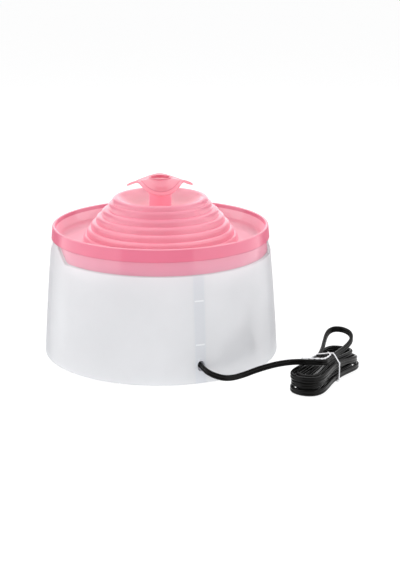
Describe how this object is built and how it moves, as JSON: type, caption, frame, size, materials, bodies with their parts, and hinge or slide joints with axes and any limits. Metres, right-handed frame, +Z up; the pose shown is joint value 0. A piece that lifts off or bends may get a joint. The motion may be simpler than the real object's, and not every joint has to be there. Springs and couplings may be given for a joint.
{
  "type": "pet water fountain",
  "caption": "Round reservoir with a drinking tray in its rim, a terraced dome with an upper dish, a flower spout on a column, a submerged pump and a tied flat cord with a barrel plug.",
  "frame": {"origin": "centre of the reservoir's footprint, on the surface that the feet stand on", "axes": "+Z up; +Y towards the rear, where the cord leaves the reservoir; +X to the right when looking along +Y"},
  "size_m": [0.2378, 0.2572, 0.1511],
  "materials": {
    "reservoir_plastic": "milky white moulded plastic, polished",
    "tray_plastic": "pink moulded plastic, polished",
    "dome_plastic": "pink moulded plastic, polished",
    "spout_plastic": "deeper pink moulded plastic, polished",
    "flower_plastic": "light pink moulded plastic, polished",
    "basket_plastic": "white moulded plastic",
    "foam": "open blue-grey filter foam",
    "carbon": "black carbon fibre felt",
    "cotton": "white filter cotton",
    "riser_plastic": "clear extruded plastic tube",
    "pump_plastic": "black moulded plastic",
    "resin": "black potting resin",
    "steel": "stacked steel laminations",
    "copper": "enamelled copper winding",
    "ferrite": "sintered ferrite magnet",
    "impeller_plastic": "white moulded plastic",
    "ceramic": null,
    "black_rubber": "black rubber",
    "grey_rubber": "dark grey rubber",
    "clear_rubber": "clear soft silicone",
    "slider_plastic": "light grey moulded plastic",
    "cord_jacket": "glossy black flexible jacket",
    "tie_wire": "white plastic over a soft wire",
    "plug_metal": "nickel plated metal"
  },
  "bodies": {
    "base": {"reservoir": "reservoir_plastic", "base_feet": "grey_rubber", "riser_tube": "riser_plastic", "pump_housing": "pump_plastic", "pump_potting": "resin", "stator_core": "steel", "stator_coil": "copper", "pump_shaft": "ceramic", "shaft_bushes": "black_rubber", "volute_cover": "pump_plastic", "volute_seal": "black_rubber", "suction_cups": "clear_rubber", "pump_cord_gland": "black_rubber", "pump_cord": "cord_jacket", "cord_free": "cord_jacket", "cord_hank": "cord_jacket", "cord_tie": "tie_wire", "plug_body": "cord_jacket", "plug_barrel": "plug_metal", "plug_insulator": "black_rubber"},
    "tray": {"tray": "tray_plastic"},
    "filter": {"filter_basket": "basket_plastic", "filter_foam": "foam", "filter_carbon": "carbon", "filter_cotton": "cotton"},
    "dome": {"dome": "dome_plastic"},
    "spout": {"spout_column": "spout_plastic"},
    "flower": {"flower_cap": "flower_plastic"},
    "rotor": {"rotor_magnet": "ferrite", "impeller": "impeller_plastic"},
    "intake": {"intake_cover": "pump_plastic"},
    "flow_slider": {"flow_slide": "slider_plastic"}
  },
  "joints": [
    {"name": "tray_lift", "type": "slide", "parent": "base", "child": "tray", "axis": [0, 0, 1], "range_m": [0, 0.08]},
    {"name": "dome_lift", "type": "slide", "parent": "tray", "child": "dome", "axis": [0, 0, 1], "range_m": [0, 0.06]},
    {"name": "filter_lift", "type": "slide", "parent": "tray", "child": "filter", "axis": [0, 0, 1], "range_m": [0, 0.03]},
    {"name": "spout_lift", "type": "slide", "parent": "dome", "child": "spout", "axis": [0, 0, 1], "range_m": [0, 0.04]},
    {"name": "flower_lift", "type": "slide", "parent": "spout", "child": "flower", "axis": [0, 0, 1], "range_m": [0, 0.025]},
    {"name": "rotor_spin", "type": "hinge", "parent": "base", "child": "rotor", "pos_m": [0, 0, 0.03], "axis": [0, 1, 0], "continuous": true},
    {"name": "intake_pull", "type": "slide", "parent": "base", "child": "intake", "axis": [0, -1, 0], "range_m": [0, 0.03]},
    {"name": "flow_set", "type": "slide", "parent": "intake", "child": "flow_slider", "axis": [1, 0, 0], "range_m": [0, 0.008]}
  ],
  "couplings": [
    {"joint": "filter_lift", "follows": "dome_lift", "ratio": 0.5}
  ]
}
